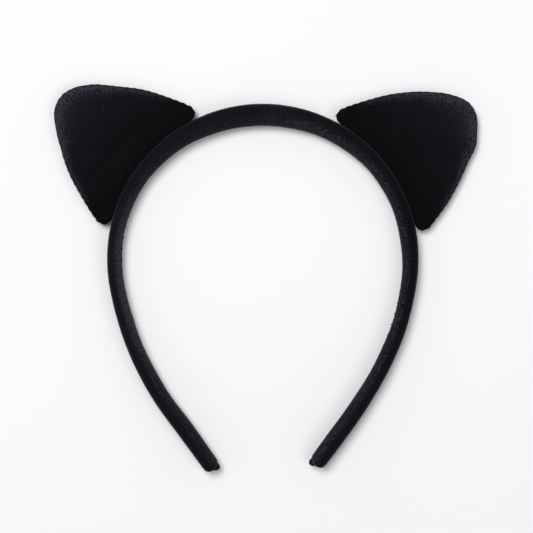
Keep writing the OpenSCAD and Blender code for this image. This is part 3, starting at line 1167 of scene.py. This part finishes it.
    def foot_stitches(self, count: int = 19, clear: float = 1.35, off_middle: float = 0.95) -> Piece:
        """Makes the whip stitches that close the foot, on the front and on the back.

        Args:
            count: How many each face has.
            clear: How far out of the foot they are.
            off_middle: How far in front of or behind the ear's middle they are.

        Returns:
            The stitches' object.
        """
        span = math.atan2(self.pattern.corner_u, self.pattern.foot_r) * 0.96
        turn = np.linspace(-span, span, count)
        rim = np.stack([np.sin(turn), np.cos(turn)], 1)
        at, out = self.pattern.place((self.pattern.foot_r + clear) * rim), rim @ self.pattern.axes
        along = np.stack([-out[:, 1], out[:, 0]], 1)
        flat = np.zeros((count, 1))
        # Each stitch slants along the foot and down over it.
        rows = [(
            np.hstack([at, flat + self.mid_z + face * off_middle]),
            np.hstack([out * 0.8 + along * 0.45, flat + face * 0.75]), np.hstack([-out * 0.6, flat + face]),
        ) for face in (1, -1)]
        points, across, stand = (np.vstack(column) for column in zip(*rows))
        piece = self.thread.sew(
            f"{self.pattern.body}_foot_stitches", points, across, stand,
            length_mm=1.4, radius_mm=0.13, rise_mm=0.1)
        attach(piece, self.pattern.body)
        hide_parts(f"{self.pattern.body}_base_stitches")
        return piece


# ---------------------------------------------------------------- the studio


@dataclass(frozen=True)
class SoftBox:
    """A square area lamp that looks at the headband's middle."""

    name: str
    at_m: tuple[float, float, float]
    size_m: float
    watts: float
    tint: str = "fffeff"

    def hang(self) -> None:
        """Hangs the lamp."""
        lamp = bpy.data.lights.new(self.name, "AREA")
        lamp.shape, lamp.size, lamp.energy = "SQUARE", self.size_m, self.watts
        lamp.color = srgb(self.tint)[:3]
        holder = new_object(self.name, lamp)
        holder.location = self.at_m
        holder.rotation_mode = "QUATERNION"
        holder.rotation_quaternion = (-Vector(self.at_m)).to_track_quat("-Z", "Y")


@dataclass
class Studio:
    """The floor, the light and the camera, which looks straight down."""

    distance: float = 0.70
    view_mm: float = 223.86
    look_at_mm: tuple[float, float, float] = (0.35, 4.69, 6.0)
    sky: str = "fbfbfe"
    sky_strength: float = 0.313
    floor_mm: float = 3000.0
    lamps: tuple[SoftBox, ...] = (
        SoftBox("key_softbox", (-0.26, 0.30, 1.25), 0.5, 11.9),
        SoftBox("fill_softbox", (0.45, -0.30, 1.1), 0.7, 2.5),
    )

    def floor(self) -> None:
        """Lays the floor at the headband's back edge."""
        corners = np.array([[-1, -1, 0], [1, -1, 0], [1, 1, 0], [-1, 1, 0]]) * self.floor_mm
        floor = mesh_object("floor", corners, [(0, 1, 2, 3)], PaintedFloor().build(), smooth=False)

    def camera(self) -> None:
        """Sets the camera above the headband, the crown up."""
        lens = bpy.data.cameras.new("camera")
        lens.sensor_width = 36.0
        lens.lens = lens.sensor_width * self.distance / (self.view_mm * MM)
        lens.clip_start, lens.clip_end = 0.01, 10.0
        camera = new_object("camera", lens)
        x, y, z = (c * MM for c in self.look_at_mm)
        camera.location = (x, y, z + self.distance)
        bpy.context.scene.camera = camera

    def light(self) -> None:
        """Sets a soft sky and a large lamp beyond the crown, with a weaker one to fill its shadows."""
        scene = bpy.context.scene
        scene.view_settings.view_transform = "Standard"
        scene.view_settings.look = "None"
        scene.world = bpy.data.worlds.new("studio")
        scene.world.use_nodes = True
        background = scene.world.node_tree.nodes["Background"]
        background.inputs["Color"].default_value = srgb(self.sky)
        background.inputs["Strength"].default_value = self.sky_strength
        for lamp in self.lamps:
            lamp.hang()


# ---------------------------------------------------------------- everything


def dress_cad_nodes(finishes: dict[str, Material]) -> None:
    """Gives each CAD node that stays its finish.

    Args:
        finishes: The material for each of the record's slots.
    """
    slots = {entry["node"]: entry["material_slot"] for entry in frame["record"]["subparts"]}
    for name, node in frame["nodes"].items():
        material = finishes[slots[name]]
        node.data.materials.clear()
        node.data.materials.append(material)


def main() -> None:
    """Builds the headband's pieces in order and reports each."""
    logging.basicConfig(level=logging.INFO, format="%(message)s")
    studio = Studio()
    studio.floor()
    studio.camera()
    studio.light()
    tube_velvet = Velvet("black_velvet_tube").build()
    ear_velvet = {
        Side.LEFT: Velvet("black_velvet_left_ear", row_share=0.04).build(),
        Side.RIGHT: Velvet("black_velvet_right_ear", row_share=0.04).build(),
    }
    thread = Thread().build()
    dress_cad_nodes({
        "velvet": tube_velvet, "thread": thread, "foam": Foam().build(), "hoop": MouldedPlastic().build(),
    })
    stitches = StitchTree(thread)
    pieces: list[Piece] = []
    for side in Side:
        tube = VelvetTube(HoopLine(side), tube_velvet)
        pieces += [tube.build(), LadderSeam(tube, stitches).build(), GatheredEnd(tube, tube_velvet).build()]
        ear = StuffedEar(EarPattern(side), ear_velvet[side], stitches)
        pieces += [ear.build(), ear.edge_stitches(), ear.foot_stitches()]
    for piece in pieces:
        LOG.info("%s: %d points, %d faces", piece.name, len(piece.data.vertices), len(piece.data.polygons))
    bpy.context.view_layer.update()


if __name__ == "__main__":
    main()
